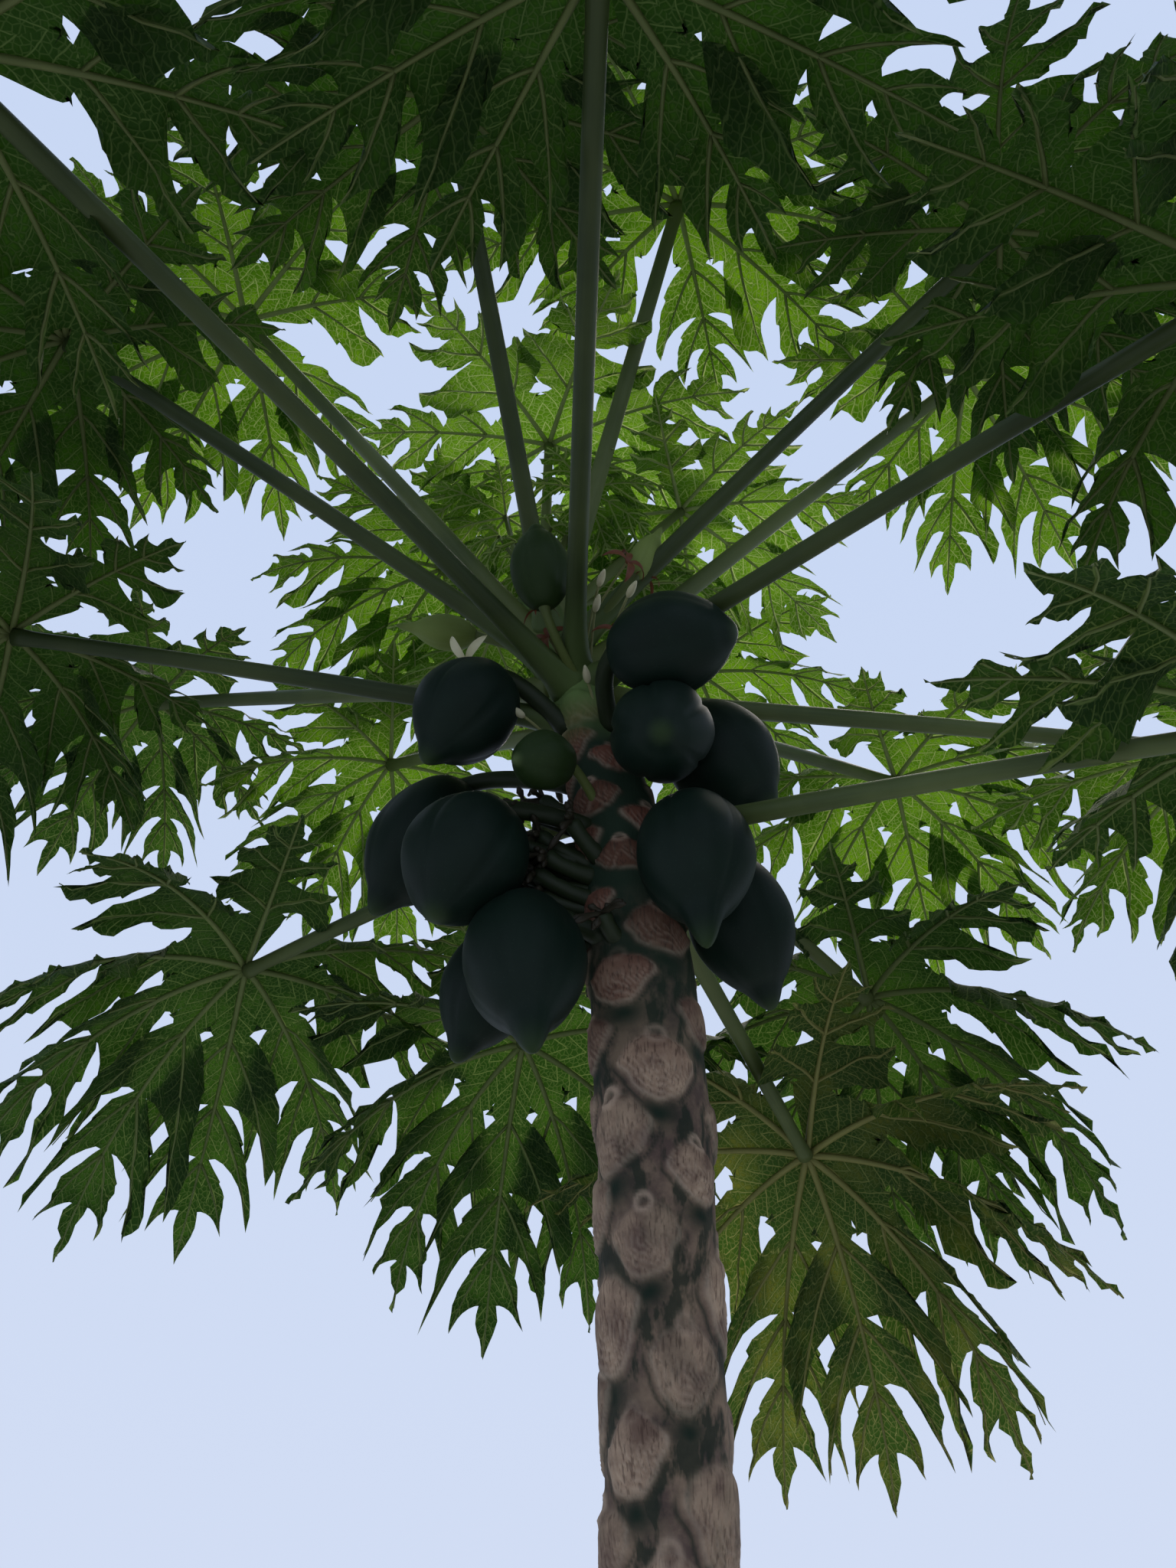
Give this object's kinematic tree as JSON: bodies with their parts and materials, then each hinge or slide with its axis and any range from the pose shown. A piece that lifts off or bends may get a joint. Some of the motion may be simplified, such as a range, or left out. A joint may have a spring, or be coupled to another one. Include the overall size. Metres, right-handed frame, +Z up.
{
  "type": "papaya tree",
  "caption": "Whole fruiting papaya tree: a leaning scarred trunk, a crown of long-stalked, deeply lobed leaves, and green fruit clustered round the trunk under them.",
  "frame": {"origin": "middle of the flat cut under the trunk, at ground level", "axes": "+Z up; -Y is the front, towards which the trunk leans; +X to the right seen from the front"},
  "size_m": [2.2325, 2.0621, 3.4417],
  "materials": {
    "bark": "rough grey-brown bark with leaf scars",
    "stalk": "smooth green stalk with a faint wax bloom",
    "leaf": "matte green leaf blade",
    "young_leaf": "matte yellow-green young leaf",
    "fruit": "smooth dark green unripe skin"
  },
  "bodies": {
    "root": {"trunk": "bark", "leaf_01_stalk": "stalk", "leaf_01_blade": "leaf", "leaf_02_stalk": "stalk", "leaf_02_blade": "leaf", "leaf_03_stalk": "stalk", "leaf_03_blade": "leaf", "leaf_04_stalk": "stalk", "leaf_04_blade": "leaf", "leaf_05_stalk": "stalk", "leaf_05_blade": "leaf", "leaf_06_stalk": "stalk", "leaf_06_blade": "leaf", "leaf_07_stalk": "stalk", "leaf_07_blade": "leaf", "leaf_08_stalk": "stalk", "leaf_08_blade": "leaf", "leaf_09_stalk": "stalk", "leaf_09_blade": "leaf", "leaf_10_stalk": "stalk", "leaf_10_blade": "leaf", "leaf_11_stalk": "stalk", "leaf_11_blade": "leaf", "leaf_12_stalk": "stalk", "leaf_12_blade": "leaf", "leaf_13_stalk": "stalk", "leaf_13_blade": "leaf", "leaf_14_stalk": "stalk", "leaf_14_blade": "leaf", "leaf_15_stalk": "stalk", "leaf_15_blade": "leaf", "leaf_16_stalk": "stalk", "leaf_16_blade": "leaf", "leaf_17_stalk": "stalk", "leaf_17_blade": "leaf", "leaf_18_stalk": "stalk", "leaf_18_blade": "leaf", "leaf_19_stalk": "stalk", "leaf_19_blade": "leaf", "leaf_20_stalk": "stalk", "leaf_20_blade": "leaf", "leaf_21_stalk": "stalk", "leaf_21_blade": "leaf", "young_leaf_1": "young_leaf", "young_leaf_2": "young_leaf", "crown_shoot": "young_leaf", "fruit_01": "fruit", "fruit_02": "fruit", "fruit_03": "fruit", "fruit_04": "fruit", "fruit_05": "fruit", "fruit_06": "fruit", "fruit_07": "fruit", "fruit_08": "fruit", "fruit_09": "fruit", "fruit_10": "fruit", "fruit_11": "fruit", "fruit_12": "fruit", "fruit_13": "fruit", "fruit_14": "fruit"}
  },
  "joints": []
}
